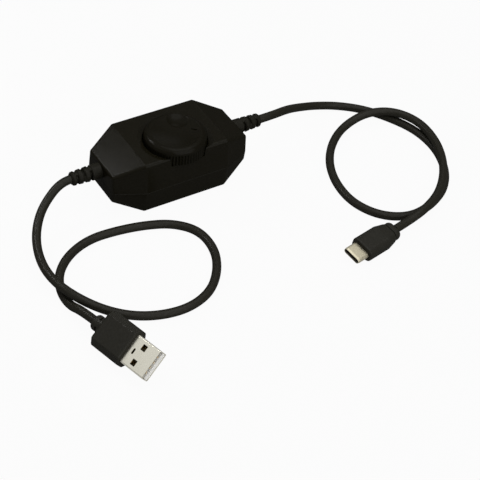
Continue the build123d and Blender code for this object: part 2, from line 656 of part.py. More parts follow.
# Strain reliefs
def strain_relief(end):
    """The slotted sleeve of one end; the other end's is the same piece turned half a turn about Z."""
    outward = Vector(end, 0, 0)
    root = Vector(end * CASE_LENGTH / 2, RELIEF_Y, relief_z)
    neck_start = flange_face - CASE_LENGTH / 2
    lean = (COLLAR_RADIUS - RELIEF_TIP_RADIUS) / (RELIEF_LENGTH - COLLAR_LENGTH)
    rings = []
    for slot in range(RELIEF_SLOTS):
        station = FIRST_SLOT + slot * SLOT_PITCH
        radius = COLLAR_RADIUS - lean * (station - COLLAR_LENGTH)
        rings.append((station - SLOT_LEAD, radius))
        rings.append((station, radius - SLOT_LEAD))
        rings.append((station + SLOT_WIDTH, radius - SLOT_LEAD))
        rings.append((station + SLOT_WIDTH + SLOT_LEAD, radius))
    with BuildPart() as relief:
        with BuildSketch(Plane(root, x_dir=outward, z_dir=(0, -end, 0))):
            with BuildLine():
                Polyline(
                    (neck_start - FLANGE_THICKNESS, 0),
                    (neck_start - FLANGE_THICKNESS, FLANGE_RADIUS),
                    (neck_start, FLANGE_RADIUS),
                    (neck_start, NECK_RADIUS),
                    (FIT_GAP / 2, NECK_RADIUS),
                    (FIT_GAP / 2, COLLAR_RADIUS),
                    *rings,
                    (RELIEF_LENGTH - RELIEF_TIP_ROUND, RELIEF_TIP_RADIUS),
                    (RELIEF_LENGTH, RELIEF_TIP_RADIUS - RELIEF_TIP_ROUND),
                    (RELIEF_LENGTH, 0),
                    close=True,
                )
            make_face()
        revolve(axis=Axis(root, outward))
        # The flange is cut flat under the case's sloping ceiling
        with BuildSketch(Plane(root + outward * neck_start, x_dir=(0, end, 0), z_dir=outward)):
            with Locations((0, NECK_RADIUS + FLANGE_RADIUS)):
                Rectangle(2 * FLANGE_RADIUS, 2 * FLANGE_RADIUS)
        extrude(amount=-FLANGE_THICKNESS, mode=Mode.SUBTRACT)
        # Two slots face each other at each station, a quarter turn on from the station before
        for slot in range(RELIEF_SLOTS):
            station = root + outward * (FIRST_SLOT + slot * SLOT_PITCH)
            with BuildSketch(Plane(station, x_dir=(0, end, 0), z_dir=outward)):
                Circle(2 * COLLAR_RADIUS)
                Circle(RELIEF_CORE_RADIUS, mode=Mode.SUBTRACT)
                Rectangle(SLOT_BRIDGE, 4 * COLLAR_RADIUS, rotation=90 * slot, mode=Mode.SUBTRACT)
            extrude(amount=SLOT_WIDTH, mode=Mode.SUBTRACT)
    return relief


input_strain_relief = strain_relief(-1)
output_strain_relief = strain_relief(1)


# Cords
def bend_radii(route):
    """The largest radius that each inner point of a route leaves room for."""
    points = [Vector(*point) for point in route]
    radii = []
    for before, point, after in zip(points, points[1:], points[2:]):
        run_in = point - before
        run_out = after - point
        half_turn = radians(run_in.get_angle(run_out)) / 2
        radii.append(BEND_SHARE * min(run_in.length, run_out.length) / tan(half_turn))
    return radii


def cord(name, route):
    """A round cord along a route of straight runs and tangent arcs."""
    radii = bend_radii(route)
    with BuildPart() as tube:
        with BuildLine() as path:
            FilletPolyline(*route, radius=radii)
        with BuildSketch(Plane(route[0], z_dir=Vector(*route[1]) - Vector(*route[0]))):
            Circle(CORD_RADIUS)
        sweep()
    length = sum(edge.length for edge in path.edges())
    expected = pi * CORD_RADIUS**2 * length
    print(name, "length", round(length, 1), "volume share", round(tube.part.volume / expected, 4))
    print(name, "radii", [round(radius, 1) for radius in radii])
    return tube


input_cord = cord("input_cord", INPUT_ROUTE)
output_cord = cord("output_cord", OUTPUT_ROUTE)


# Plugs
def plug_plane(route, roll):
    """The plane at the end of a cord that faces along its plug, turned about the plug's axis."""
    along = Vector(*route[-1]) - Vector(*route[-2])
    sideways = Vector(0, 0, 1).cross(along)
    return Plane(route[-1], x_dir=sideways.rotate(Axis((0, 0, 0), along), roll), z_dir=along)


def face_plane(plug, reach):
    """The plane through a plug's axis, at a reach along it, that looks out of its top."""
    return Plane(plug.from_local_coords((0, 0, reach)), x_dir=plug.x_dir, z_dir=plug.y_dir)


usb_a = plug_plane(INPUT_ROUTE, USB_A_ROLL)
usb_a_axis = Axis(usb_a.origin, usb_a.z_dir)
usb_a_root = USB_A_NECK_LENGTH + USB_A_LENGTH
usb_a_inner_width = USB_A_SHELL_WIDTH - 2 * (USB_A_SHELL_WALL + PLUG_FIT)
usb_a_inner_height = USB_A_SHELL_HEIGHT - 2 * (USB_A_SHELL_WALL + PLUG_FIT)
usb_a_inner_corner = USB_A_SHELL_CORNER - USB_A_SHELL_WALL
usb_a_tongue_top = USB_A_TONGUE_HEIGHT - usb_a_inner_height / 2

with BuildPart() as usb_a_overmold:
    with BuildSketch(usb_a.offset(USB_A_NECK_LENGTH)) as section:
        Rectangle(USB_A_WIDTH, USB_A_THICKNESS)
        chamfer(section.vertices(), USB_A_BEVEL)
        fillet(section.vertices(), USB_A_EDGE)
    extrude(amount=USB_A_LENGTH)
    fillet(usb_a_overmold.faces().sort_by(usb_a_axis)[-1].edges(), USB_A_EDGE)
    fillet(usb_a_overmold.faces().sort_by(usb_a_axis)[0].edges(), USB_A_BACK_ROUND)
    with BuildSketch(usb_a):
        Circle(USB_A_NECK_RADIUS)
    extrude(amount=USB_A_NECK_LENGTH + USB_A_BACK_ROUND)
    fillet(usb_a_overmold.faces().sort_by(usb_a_axis)[0].edges(), USB_A_NECK_ROUND)
    with BuildSketch(usb_a.offset(USB_A_POCKET_REACH)):
        Circle(2 * USB_A_NECK_RADIUS)
        Circle(USB_A_NECK_CORE, mode=Mode.SUBTRACT)
        Rectangle(USB_A_POCKET_BRIDGE, 4 * USB_A_NECK_RADIUS, mode=Mode.SUBTRACT)
        Rectangle(4 * USB_A_NECK_RADIUS, USB_A_POCKET_BRIDGE, mode=Mode.SUBTRACT)
    extrude(amount=USB_A_POCKET, mode=Mode.SUBTRACT)
    with BuildSketch(usb_a.offset(usb_a_root)):
        RectangleRounded(
            USB_A_SHELL_WIDTH + 2 * PLUG_FIT,
            USB_A_SHELL_HEIGHT + 2 * PLUG_FIT,
            USB_A_SHELL_CORNER + PLUG_FIT,
        )
    extrude(amount=-USB_A_EMBED, mode=Mode.SUBTRACT)

with BuildPart() as usb_a_shell:
    with BuildSketch(usb_a.offset(usb_a_root - USB_A_EMBED)):
        RectangleRounded(USB_A_SHELL_WIDTH, USB_A_SHELL_HEIGHT, USB_A_SHELL_CORNER)
        RectangleRounded(
            USB_A_SHELL_WIDTH - 2 * USB_A_SHELL_WALL,
            USB_A_SHELL_HEIGHT - 2 * USB_A_SHELL_WALL,
            usb_a_inner_corner,
            mode=Mode.SUBTRACT,
        )
    extrude(amount=USB_A_EMBED + USB_A_SHELL_REACH)
    with BuildSketch(face_plane(usb_a, usb_a_root + WINDOW_REACH)):
        with GridLocations(WINDOW_PITCH, 0, 2, 1):
            Rectangle(WINDOW_WIDTH, WINDOW_LENGTH)
    extrude(amount=USB_A_SHELL_HEIGHT, both=True, mode=Mode.SUBTRACT)
    with BuildSketch(face_plane(usb_a, usb_a_root + LATCH_SLOT_REACH)):
        SlotOverall(LATCH_SLOT_LENGTH, LATCH_SLOT_WIDTH)
    extrude(amount=USB_A_SHELL_HEIGHT, mode=Mode.SUBTRACT)

with BuildPart() as usb_a_insulator:
    with BuildSketch(usb_a.offset(usb_a_root - USB_A_EMBED)):
        RectangleRounded(usb_a_inner_width, usb_a_inner_height, usb_a_inner_corner)
    extrude(amount=USB_A_BLOCK_LENGTH)
    with BuildSketch(usb_a.offset(usb_a_root - USB_A_EMBED)):
        with Locations((0, usb_a_tongue_top - USB_A_TONGUE_HEIGHT / 2)):
            RectangleRounded(usb_a_inner_width, USB_A_TONGUE_HEIGHT, usb_a_inner_corner)
    extrude(amount=USB_A_EMBED + USB_A_SHELL_REACH - USB_A_TONGUE_SETBACK)

with BuildPart() as usb_a_contacts:
    with BuildSketch(usb_a.offset(usb_a_root + USB_A_SHELL_REACH - USB_A_CONTACT_SETBACK)):
        with Locations((0, usb_a_tongue_top + USB_A_CONTACT_THICKNESS / 2)):
            with GridLocations(USB_A_CONTACT_PITCH, 0, USB_A_CONTACTS, 1):
                Rectangle(USB_A_CONTACT_WIDTH, USB_A_CONTACT_THICKNESS)
    extrude(amount=-USB_A_CONTACT_LENGTH)

usb_c = plug_plane(OUTPUT_ROUTE, USB_C_ROLL)
usb_c_axis = Axis(usb_c.origin, usb_c.z_dir)
usb_c_body = USB_C_COLLAR_LENGTH + USB_C_GROOVE + USB_C_SHOULDER
usb_c_root = usb_c_body + USB_C_LENGTH
usb_c_inner_width = USB_C_SHELL_WIDTH - 2 * (USB_C_SHELL_WALL + PLUG_FIT)
usb_c_inner_height = USB_C_SHELL_HEIGHT - 2 * (USB_C_SHELL_WALL + PLUG_FIT)

with BuildPart() as usb_c_overmold:
    with BuildSketch(usb_c.offset(usb_c_body)):
        RectangleRounded(USB_C_WIDTH, USB_C_THICKNESS, USB_C_CORNER)
    extrude(amount=USB_C_LENGTH)
    fillet(usb_c_overmold.faces().sort_by(usb_c_axis)[-1].edges(), USB_C_EDGE)
    with BuildSketch(usb_c.offset(USB_C_COLLAR_LENGTH + USB_C_GROOVE)):
        RectangleRounded(USB_C_WAIST_WIDTH, USB_C_WAIST_THICKNESS, USB_C_CORNER)
    with BuildSketch(usb_c.offset(usb_c_body)):
        RectangleRounded(USB_C_WIDTH, USB_C_THICKNESS, USB_C_CORNER)
    loft()
    with BuildSketch(usb_c):
        RectangleRounded(USB_C_COLLAR_WIDTH, USB_C_COLLAR_THICKNESS, USB_C_CORNER)
    extrude(amount=USB_C_COLLAR_LENGTH)
    fillet(usb_c_overmold.faces().sort_by(usb_c_axis)[0].edges(), USB_C_COLLAR_ROUND)
    with BuildSketch(usb_c.offset(USB_C_COLLAR_LENGTH)):
        RectangleRounded(
            USB_C_COLLAR_WIDTH - 2 * USB_C_GROOVE_DEPTH,
            USB_C_COLLAR_THICKNESS - 2 * USB_C_GROOVE_DEPTH,
            USB_C_CORNER - USB_C_GROOVE_DEPTH,
        )
    extrude(amount=USB_C_GROOVE)
    with BuildSketch(usb_c.offset(usb_c_root)):
        SlotOverall(USB_C_SHELL_WIDTH + 2 * PLUG_FIT, USB_C_SHELL_HEIGHT + 2 * PLUG_FIT)
    extrude(amount=-USB_C_EMBED, mode=Mode.SUBTRACT)

with BuildPart() as usb_c_shell:
    with BuildSketch(usb_c.offset(usb_c_root - USB_C_EMBED)):
        SlotOverall(USB_C_SHELL_WIDTH, USB_C_SHELL_HEIGHT)
    extrude(amount=USB_C_EMBED + USB_C_SHELL_REACH - USB_C_LEAD)
    with BuildSketch(usb_c.offset(usb_c_root + USB_C_SHELL_REACH - USB_C_LEAD)):
        SlotOverall(USB_C_SHELL_WIDTH, USB_C_SHELL_HEIGHT)
    with BuildSketch(usb_c.offset(usb_c_root + USB_C_SHELL_REACH)):
        SlotOverall(USB_C_SHELL_WIDTH - 2 * USB_C_LEAD_DEPTH, USB_C_SHELL_HEIGHT - 2 * USB_C_LEAD_DEPTH)
    loft()
    with BuildSketch(usb_c.offset(usb_c_root - USB_C_EMBED)):
        SlotOverall(USB_C_SHELL_WIDTH - 2 * USB_C_SHELL_WALL, USB_C_SHELL_HEIGHT - 2 * USB_C_SHELL_WALL)
    extrude(amount=USB_C_EMBED + USB_C_SHELL_REACH, mode=Mode.SUBTRACT)

with BuildPart() as usb_c_insulator:
    with BuildSketch(usb_c.offset(usb_c_root - USB_C_EMBED)):
        SlotOverall(usb_c_inner_width, usb_c_inner_height)
    extrude(amount=USB_C_EMBED + USB_C_SHELL_REACH - USB_C_SETBACK)
    with BuildSketch(usb_c.offset(usb_c_root + USB_C_SHELL_REACH - USB_C_SETBACK)):
        Rectangle(USB_C_MOUTH_WIDTH, USB_C_MOUTH_HEIGHT)
    extrude(amount=-USB_C_MOUTH_DEPTH, mode=Mode.SUBTRACT)

with BuildPart() as usb_c_contacts:
    with BuildSketch(usb_c.offset(usb_c_root + USB_C_SHELL_REACH - USB_C_SETBACK - USB_C_MOUTH_DEPTH)):
        rows = USB_C_MOUTH_HEIGHT - USB_C_CONTACT_THICKNESS
        with GridLocations(USB_C_CONTACT_PITCH, rows, USB_C_CONTACTS, 2):
            Rectangle(USB_C_CONTACT_WIDTH, USB_C_CONTACT_THICKNESS)
    extrude(amount=USB_C_CONTACT_LENGTH)

pieces = {
    "upper_case": upper_case,
    "lower_case": lower_case,
    "case_screws": case_screws,
    "dial": dial,
    "circuit_board": circuit_board,
    "pot_base": pot_base,
    "pot_terminals": pot_terminals,
    "pot_cover": pot_cover,
    "pot_shaft": pot_shaft,
    "pot_wiper": pot_wiper,
    "pwm_chip": pwm_chip,
    "mosfet": mosfet,
    "capacitor": capacitor,
    "diode": diode,
    "resistors": resistors,
    "input_wire_positive": input_wire_positive,
    "input_wire_negative": input_wire_negative,
    "output_wire_positive": output_wire_positive,
    "output_wire_negative": output_wire_negative,
    "input_strain_relief": input_strain_relief,
    "output_strain_relief": output_strain_relief,
    "input_cord": input_cord,
    "output_cord": output_cord,
    "usb_a_overmold": usb_a_overmold,
    "usb_a_shell": usb_a_shell,
    "usb_a_insulator": usb_a_insulator,
    "usb_a_contacts": usb_a_contacts,
    "usb_c_overmold": usb_c_overmold,
    "usb_c_shell": usb_c_shell,
    "usb_c_insulator": usb_c_insulator,
    "usb_c_contacts": usb_c_contacts,
}
for name, piece in pieces.items():
    piece.part.label = name
    export_step(piece.part, f"parts/{name}.step")
print(len(pieces), "pieces written")
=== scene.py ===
# %% [markdown]
# An inline cord dimmer is a small control box that sits in a lamp's cord. This one is a faceted black case
# with a thumb dial, between a USB-A plug and a USB-C plug. Its solids come from CAD at their real size and
# place, so this lesson adds what solids lack: smooth cords, finishes, a camera and studio light. The box
# around the solids is kept from the start, to be compared with the finished model's box at the end.

# %% Load the solids
from math import cos, pi, radians, sin

import bmesh
import bpy
from mathutils import Matrix, Vector


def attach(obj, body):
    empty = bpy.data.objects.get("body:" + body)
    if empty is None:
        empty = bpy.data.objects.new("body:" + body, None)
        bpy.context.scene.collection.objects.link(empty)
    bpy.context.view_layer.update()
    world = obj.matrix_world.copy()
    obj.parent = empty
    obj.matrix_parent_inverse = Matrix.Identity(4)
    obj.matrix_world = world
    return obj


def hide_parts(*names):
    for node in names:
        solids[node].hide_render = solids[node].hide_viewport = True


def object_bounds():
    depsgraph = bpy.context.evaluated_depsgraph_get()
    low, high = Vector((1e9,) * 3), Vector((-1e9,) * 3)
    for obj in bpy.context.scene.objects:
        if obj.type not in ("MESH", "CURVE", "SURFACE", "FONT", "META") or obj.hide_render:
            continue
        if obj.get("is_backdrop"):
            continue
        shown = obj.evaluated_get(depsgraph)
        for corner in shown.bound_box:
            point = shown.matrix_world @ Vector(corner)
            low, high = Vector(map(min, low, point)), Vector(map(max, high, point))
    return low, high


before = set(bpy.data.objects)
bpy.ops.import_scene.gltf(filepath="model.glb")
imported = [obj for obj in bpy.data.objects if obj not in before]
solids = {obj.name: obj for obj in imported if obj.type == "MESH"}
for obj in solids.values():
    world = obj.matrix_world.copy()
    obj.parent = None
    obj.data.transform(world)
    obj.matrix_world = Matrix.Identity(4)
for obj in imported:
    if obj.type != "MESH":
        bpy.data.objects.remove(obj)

MM = 0.001
scene = bpy.context.scene
cad_low, cad_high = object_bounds()


def in_millimetres(lengths):
    """Lengths in metres as rounded millimetres, for printing."""
    return [round(length / MM, 1) for length in lengths]


print("solids:", len(solids), "CAD box in mm:", in_millimetres(cad_high - cad_low))

# %% [markdown]
# The camera comes first, because everything else is judged through it. The photograph was taken with a
# long lens from the front left, about 43 degrees up. We could aim a camera with a tracking constraint, but
# three angles, a distance and the pixel where the case's origin falls are exact and easy to read. Blender's
# camera looks along its own -Z axis, so its matrix is made of the picture's right, up and backward axes.

# %% Camera
CAMERA_AZIMUTH = radians(-35.91)
CAMERA_ELEVATION = radians(42.88)
CAMERA_ROLL = radians(6.59)
CAMERA_DISTANCE = 627.85 * MM
IMAGE_SIDE = 480
FOCAL_PIXELS = 1500
ORIGIN_PIXEL = (166.74, 176.92)
SENSOR_WIDTH = 36
CLIP_START = 10 * MM


def add_to_scene(name, data):
    """A new object made from its data, and put in the scene."""
    thing = bpy.data.objects.new(name, data)
    scene.collection.objects.link(thing)
    return thing


backward = Vector((
    sin(CAMERA_AZIMUTH) * cos(CAMERA_ELEVATION),
    -cos(CAMERA_AZIMUTH) * cos(CAMERA_ELEVATION),
    sin(CAMERA_ELEVATION),
))
level_right = Vector((cos(CAMERA_AZIMUTH), sin(CAMERA_AZIMUTH), 0))
level_up = backward.cross(level_right)
right = cos(CAMERA_ROLL) * level_right + sin(CAMERA_ROLL) * level_up
up = cos(CAMERA_ROLL) * level_up - sin(CAMERA_ROLL) * level_right

origin_across, origin_down = ORIGIN_PIXEL
metres_per_pixel = CAMERA_DISTANCE / FOCAL_PIXELS
camera_place = backward * CAMERA_DISTANCE
camera_place -= right * (origin_across - IMAGE_SIDE / 2) * metres_per_pixel
camera_place += up * (origin_down - IMAGE_SIDE / 2) * metres_per_pixel
camera_turn = Matrix((right, up, backward)).transposed().to_4x4()

camera = add_to_scene("camera", bpy.data.cameras.new("camera"))
camera.data.sensor_width = SENSOR_WIDTH
camera.data.lens = FOCAL_PIXELS / IMAGE_SIDE * SENSOR_WIDTH
camera.data.clip_start = CLIP_START
camera.matrix_world = Matrix.Translation(camera_place) @ camera_turn
scene.camera = camera
print("camera at, in mm:", in_millimetres(camera_place), "lens", camera.data.lens)

# %% [markdown]
# One cord leaves each end of the case and lies on the table in loose curves. The photograph shows both from
# end to end. A route could be drawn by a simulation, but then it would lie anywhere, so each one is a list
# of points, given in millimetres, and CAD uses the same points. A route goes straight out of its
# strain relief, comes down to the table, where the cord's middle is half its thickness up, and rises in a
# long low hump where it crosses itself.

# %% Cord routes
CORD_RADIUS = 1.8
INPUT_ROUTE = [
    (-44.35, 1.0, 14.7), (-48.85, 1.0, 14.7), (-57.1, -2.6, 10.6), (-63.3, -8.4, 8.4),
    (-68.5, -17.0, 6.1), (-71.7, -28.1, 5.3), (-72.2, -39.9, 6.2), (-68.8, -51.2, 6.4),
    (-61.5, -59.9, 4.0), (-52.3, -66.2, 2.0), (-41.8, -70.8, 1.85), (-30.2, -72.0, 1.85),
    (-18.9, -68.1, 1.85), (-10.4, -59.1, 1.85), (-5.4, -48.4, 1.85), (-5.5, -36.3, 1.85),
    (-12.8, -28.0, 1.85), (-23.3, -23.9, 1.85), (-35.3, -21.7, 1.85), (-47.2, -21.3, 1.85),
    (-58.1, -25.4, 1.85), (-66.2, -32.6, 1.85), (-70.3, -41.5, 1.85), (-70.7, -50.4, 1.95),
    (-69.4, -58.2, 5.6), (-67.6, -66.3, 6.3),
]
OUTPUT_ROUTE = [
    (44.35, 1.0, 14.7), (51.85, 1.0, 14.7), (61.5, 4.6, 11.8), (70.8, 8.2, 7.3), (81.0, 9.9, 3.6),
    (91.5, 7.4, 1.85), (100.8, 0.0, 1.85), (108.0, -10.2, 1.85), (113.4, -22.0, 1.85),
    (114.2, -35.2, 1.85), (110.2, -48.0, 1.85), (102.3, -58.7, 1.85), (90.9, -65.3, 1.85),
    (77.7, -67.8, 1.85), (66.5, -61.9, 1.85), (60.4, -50.2, 1.85), (60.9, -36.5, 1.85),
    (65.8, -23.9, 1.85), (74.4, -13.5, 1.85), (85.3, -6.4, 2.2), (97.3, -5.9, 5.4),
    (108.4, -10.3, 6.0), (114.8, -20.9, 5.8), (114.2, -34.2, 5.8), (109.2, -46.8, 5.8),
    (101.6, -57.4, 5.8), (91.9, -65.6, 5.9), (81.5, -70.1, 5.6), (71.9, -71.5, 3.9),
    (65.2, -72.84, 3.9),
]
print("route points:", len(INPUT_ROUTE), "and", len(OUTPUT_ROUTE))

# %% [markdown]
# Each cord is a limp PVC lead, 3.6 mm thick. In CAD it is a plain tube of runs and arcs. A mesh tube could
# be swept along the route, but one NURBS curve with the route's points as its control points is smooth,
# keeps its thickness everywhere and bends as a soft lead does. The order is set after the points are added,
# or Blender would leave the curve as straight runs. The bevel is 1 and each point's radius is the cord's
# own, because Blender widens a curve's box by that radius.

# %% Cords
CURVE_ORDER = 3
STEPS_PER_POINT = 10
STEPS_ROUND_CORD = 6


def lay_cord(name, route, tube):
    """One cord as a NURBS curve along its route, attached to the case's body in place of the CAD tube, which
    is hidden.
    """
    curve = bpy.data.curves.new(name, "CURVE")
    curve.dimensions = "3D"
    line = curve.splines.new("NURBS")
    line.points.add(len(route) - 1)
    for point, spot in zip(line.points, route):
        point.co = (*[value * MM for value in spot], 1)
        point.radius = CORD_RADIUS * MM
    line.order_u = CURVE_ORDER
    line.use_endpoint_u = True
    line.resolution_u = STEPS_PER_POINT
    curve.bevel_depth = 1.0
    curve.bevel_resolution = STEPS_ROUND_CORD
    curve.use_fill_caps = True
    jacket = add_to_scene(name, curve)
    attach(jacket, "case_body")
    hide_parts(tube)
    print(name, "length in m:", round(line.calc_length(), 4))
    return jacket


input_jacket = lay_cord("input_jacket", INPUT_ROUTE, tube="input_cord")
output_jacket = lay_cord("output_jacket", OUTPUT_ROUTE, tube="output_cord")

# %% [markdown]
# Finishes are node graphs. Wiring them node by node is long and hard to read, so two small classes help. The
# first is Value, which wraps one output socket. Arithmetic on a Value adds Math nodes, so `1 - mask` works
# as it looks. The reflected forms, such as __rsub__, serve a plain number on the left.

# %% Arithmetic on sockets
class Value:
    """An output socket that can be used in arithmetic."""

    def __init__(self, graph, socket):
        self.graph = graph
        self.socket = socket

    def math(self, operation, first, second):
        return self.graph.node("ShaderNodeMath", {"operation": operation}, {0: first, 1: second})

    def __add__(self, other):
        return self.math("ADD", self, other)

    def __radd__(self, other):
        return self.math("ADD", other, self)

    def __sub__(self, other):
        return self.math("SUBTRACT", self, other)

    def __rsub__(self, other):
        return self.math("SUBTRACT", other, self)

    def __mul__(self, other):
        return self.math("MULTIPLY", self, other)

    def __rmul__(self, other):
        return self.math("MULTIPLY", other, self)


# %% [markdown]
# The second class is Graph, which owns the node tree of a material or a world. Its one `node` method adds
# any other node: its settings are set first, then its sockets are filled with numbers or linked to Values.
# The methods after it make the few nodes that these finishes share. Their textures take the object's own
# coordinates, in metres, so that a grain has its true size and stays on its piece when the piece moves. A
# Mix node has sockets for numbers, vectors and colours, so its colour sockets are found by their place.

# %% Node graphs
MIX_AMOUNT = 0
MIX_FIRST_COLOUR = 6
MIX_SECOND_COLOUR = 7
MIX_COLOUR_OUT = 2
EVEN = (1, 1, 1)


class Graph:
    """The node tree of a material or a world."""

    def __init__(self, owner):
        owner.use_nodes = True
        self.owner = owner
        self.tree = owner.node_tree
        self.tree.nodes.clear()

    def node(self, kind, settings, sockets, output=0):
        """Any node: its settings are set first, then its sockets are linked to Values or given numbers."""
        made = self.tree.nodes.new(kind)
        for name, setting in settings.items():
            setattr(made, name, setting)
        for name, value in sockets.items():
            if isinstance(value, Value):
                self.tree.links.new(value.socket, made.inputs[name])
            else:
                made.inputs[name].default_value = value
        return Value(self, made.outputs[output]) if made.outputs else None

    def place(self, stretch=EVEN):
        """The point on the object in metres, stretched along its axes."""
        point = self.node("ShaderNodeTexCoord", {}, {}, "Object")
        return self.node("ShaderNodeVectorMath", {"operation": "MULTIPLY"}, {0: point, 1: stretch})

    def noise(self, per_metre, detail, stretch=EVEN):
        """Smooth noise between 0 and 1 with so many waves to the metre."""
        sockets = {"Vector": self.place(stretch), "Scale": per_metre, "Detail": detail}
        return self.node("ShaderNodeTexNoise", {}, sockets)

    def spread(self, value, low, high):
        """The value spread so that low becomes 0 and high becomes 1."""
        return self.node("ShaderNodeMapRange", {}, {"Value": value, "From Min": low, "From Max": high})

    def blend(self, amount, first, second):
        """A colour between two colours."""
        sockets = {MIX_AMOUNT: amount, MIX_FIRST_COLOUR: (*first, 1), MIX_SECOND_COLOUR: (*second, 1)}
        return self.node("ShaderNodeMix", {"data_type": "RGBA"}, sockets, MIX_COLOUR_OUT)

    def bump(self, height, depth):
        """A normal raised by a height of 0 to 1 times a depth in metres."""
        return self.node("ShaderNodeBump", {}, {"Height": height, "Distance": depth})

    def surface(self, **sockets):
        """A Principled shader; underscores in the names of its sockets stand for spaces."""
        named = {name.replace("_", " "): value for name, value in sockets.items()}
        shader = self.node("ShaderNodeBsdfPrincipled", {}, named)
        self.node("ShaderNodeOutputMaterial", {}, {"Surface": shader})
        return self.owner


# %% [markdown]
# A finish reaches a piece through its material slots. A solid from CAD comes with a slot, and a new curve
# has none until a material is added to it. One helper takes care of both, so that each finish below is made
# once and then given to its pieces.

# %% Dressing pieces
def dress(finish, *pieces):
    """Gives a finish to CAD solids by name, or to new pieces."""
    for piece in pieces:
        thing = solids[piece] if isinstance(piece, str) else piece
        if not thing.material_slots:
            thing.data.materials.append(finish)
        for material_slot in thing.material_slots:
            material_slot.material = finish
    print(finish.name, "on", len(pieces), "pieces")


# %% [markdown]
# The case is moulded ABS. Its mould was spark-eroded, which leaves a fine even grain that breaks up
# highlights: you see it as sparkle on the slope that faces the light. A grain texture could be painted, but
# noises in the object's own metres give it at its true size. One is the grain, one makes paler specks in it,
# and a slow one changes colour and shine a little, as in any moulding. Its black is a warm one. The shine
# lies on it as a thin coat: the usual specular would grow strong where we look along a face, and the grain
# of real moulded plastic keeps such faces dark. The dial is the same plastic, a little smoother and darker.

# %% Case and dial plastic
COAT_IOR = 2.0
CLOUDS_PER_METRE = 90
SPECKS_TO_GRAIN = 0.7
SPECK_STARTS = 0.45
SPECK_FULL = 0.75
CLOUD_IN_COLOUR = 0.55
SPECK_IN_COLOUR = 0.45
GRAIN_IN_ROUGHNESS = 0.16
CLOUD_IN_ROUGHNESS = 0.08
EVEN_COAT = 0.6
GRAIN_IN_COAT = 0.6
SPECK_IN_COAT = 0.3
NOISE_MIDDLE = 0.5


def moulded_black(name, deep, pale, roughness, coat, grain_per_metre, grain_depth):
    """Black moulded plastic with a fine grain and slow changes of shade."""
    graph = Graph(bpy.data.materials.new(name))
    grain = graph.noise(grain_per_metre, detail=3)
    cloud = graph.noise(CLOUDS_PER_METRE, detail=4)
    speck_noise = graph.noise(grain_per_metre * SPECKS_TO_GRAIN, detail=1)
    speck = graph.spread(speck_noise, SPECK_STARTS, SPECK_FULL)
    rougher_grain = (grain - NOISE_MIDDLE) * GRAIN_IN_ROUGHNESS
    rougher_cloud = (cloud - NOISE_MIDDLE) * CLOUD_IN_ROUGHNESS
    return graph.surface(
        Base_Color=graph.blend(cloud * CLOUD_IN_COLOUR + speck * SPECK_IN_COLOUR, deep, pale),
        Roughness=roughness + rougher_grain + rougher_cloud,
        Normal=graph.bump(grain, grain_depth),
        Specular_IOR_Level=0.0,
        Coat_Weight=coat * (EVEN_COAT + grain * GRAIN_IN_COAT + speck * SPECK_IN_COAT),
        Coat_Roughness=roughness,
        Coat_IOR=COAT_IOR,
    )


case_plastic = moulded_black(
    "case_plastic",
    deep=(0.0062, 0.0054, 0.0028),
    pale=(0.0084, 0.0074, 0.0043),
    roughness=0.25,
    coat=0.045,
    grain_per_metre=2200,
    grain_depth=0.04 * MM,
)
dial_plastic = moulded_black(
    "dial_plastic",
    deep=(0.0056, 0.0049, 0.0026),
    pale=(0.0072, 0.0063, 0.0036),
    roughness=0.24,
    coat=0.038,
    grain_per_metre=2600,
    grain_depth=0.02 * MM,
)
dress(case_plastic, "upper_case", "lower_case")
dress(dial_plastic, "dial")

# %% [markdown]
# The cords, their strain reliefs and the plugs' bodies are soft PVC. It is a little greyer than the case and
# scatters light more widely, so it looks dull and slightly dusty. It could have a maker of its own, but the
# black plastic above has all that it needs: a paler colour, a rougher coat and a coarser, shallower grain.

# %% Soft black PVC
cord_pvc = moulded_black(
    "cord_pvc",
    deep=(0.0150, 0.0139, 0.0099),
    pale=(0.0180, 0.0168, 0.0124),
    roughness=0.36,
    coat=0.075,
    grain_per_metre=1500,
    grain_depth=0.005 * MM,
)
relief_pvc = moulded_black(
    "relief_pvc",
    deep=(0.0105, 0.0097, 0.0068),
    pale=(0.0140, 0.0131, 0.0098),
    roughness=0.42,
    coat=0.045,
    grain_per_metre=1700,
    grain_depth=0.03 * MM,
)
plug_pvc = moulded_black(
    "plug_pvc",
    deep=(0.0160, 0.0151, 0.0114),
    pale=(0.0195, 0.0184, 0.0143),
    roughness=0.36,
    coat=0.085,
    grain_per_metre=1900,
    grain_depth=0.015 * MM,
)
dress(cord_pvc, input_jacket, output_jacket, "input_cord", "output_cord")
dress(relief_pvc, "input_strain_relief", "output_strain_relief")
dress(plug_pvc, "usb_a_overmold", "usb_c_overmold")

# %% [markdown]
# The plugs' shells are folded from thin steel with a nickel plate, bright on the USB-A plug and duller and
# browner on the USB-C plug. A plain metal would look too clean. Rolling leaves faint lines in the sheet, and
# handling leaves slightly duller patches, so the shine changes slowly over the metal. The lines are a noise
# that is squeezed across them and drawn out along them. One maker of plated metal serves every metal piece.

# %% Metals
LINES_PER_METRE = 900
PATCHES_PER_METRE = 260
PATCH_IN_COLOUR = 0.7
LINE_IN_COLOUR = 0.3
LINE_IN_ROUGHNESS = 0.10
PATCH_IN_ROUGHNESS = 0.10
PATCH_STARTS = 0.45
PATCH_FULL = 0.8
LINE_DEPTH = 0.004 * MM


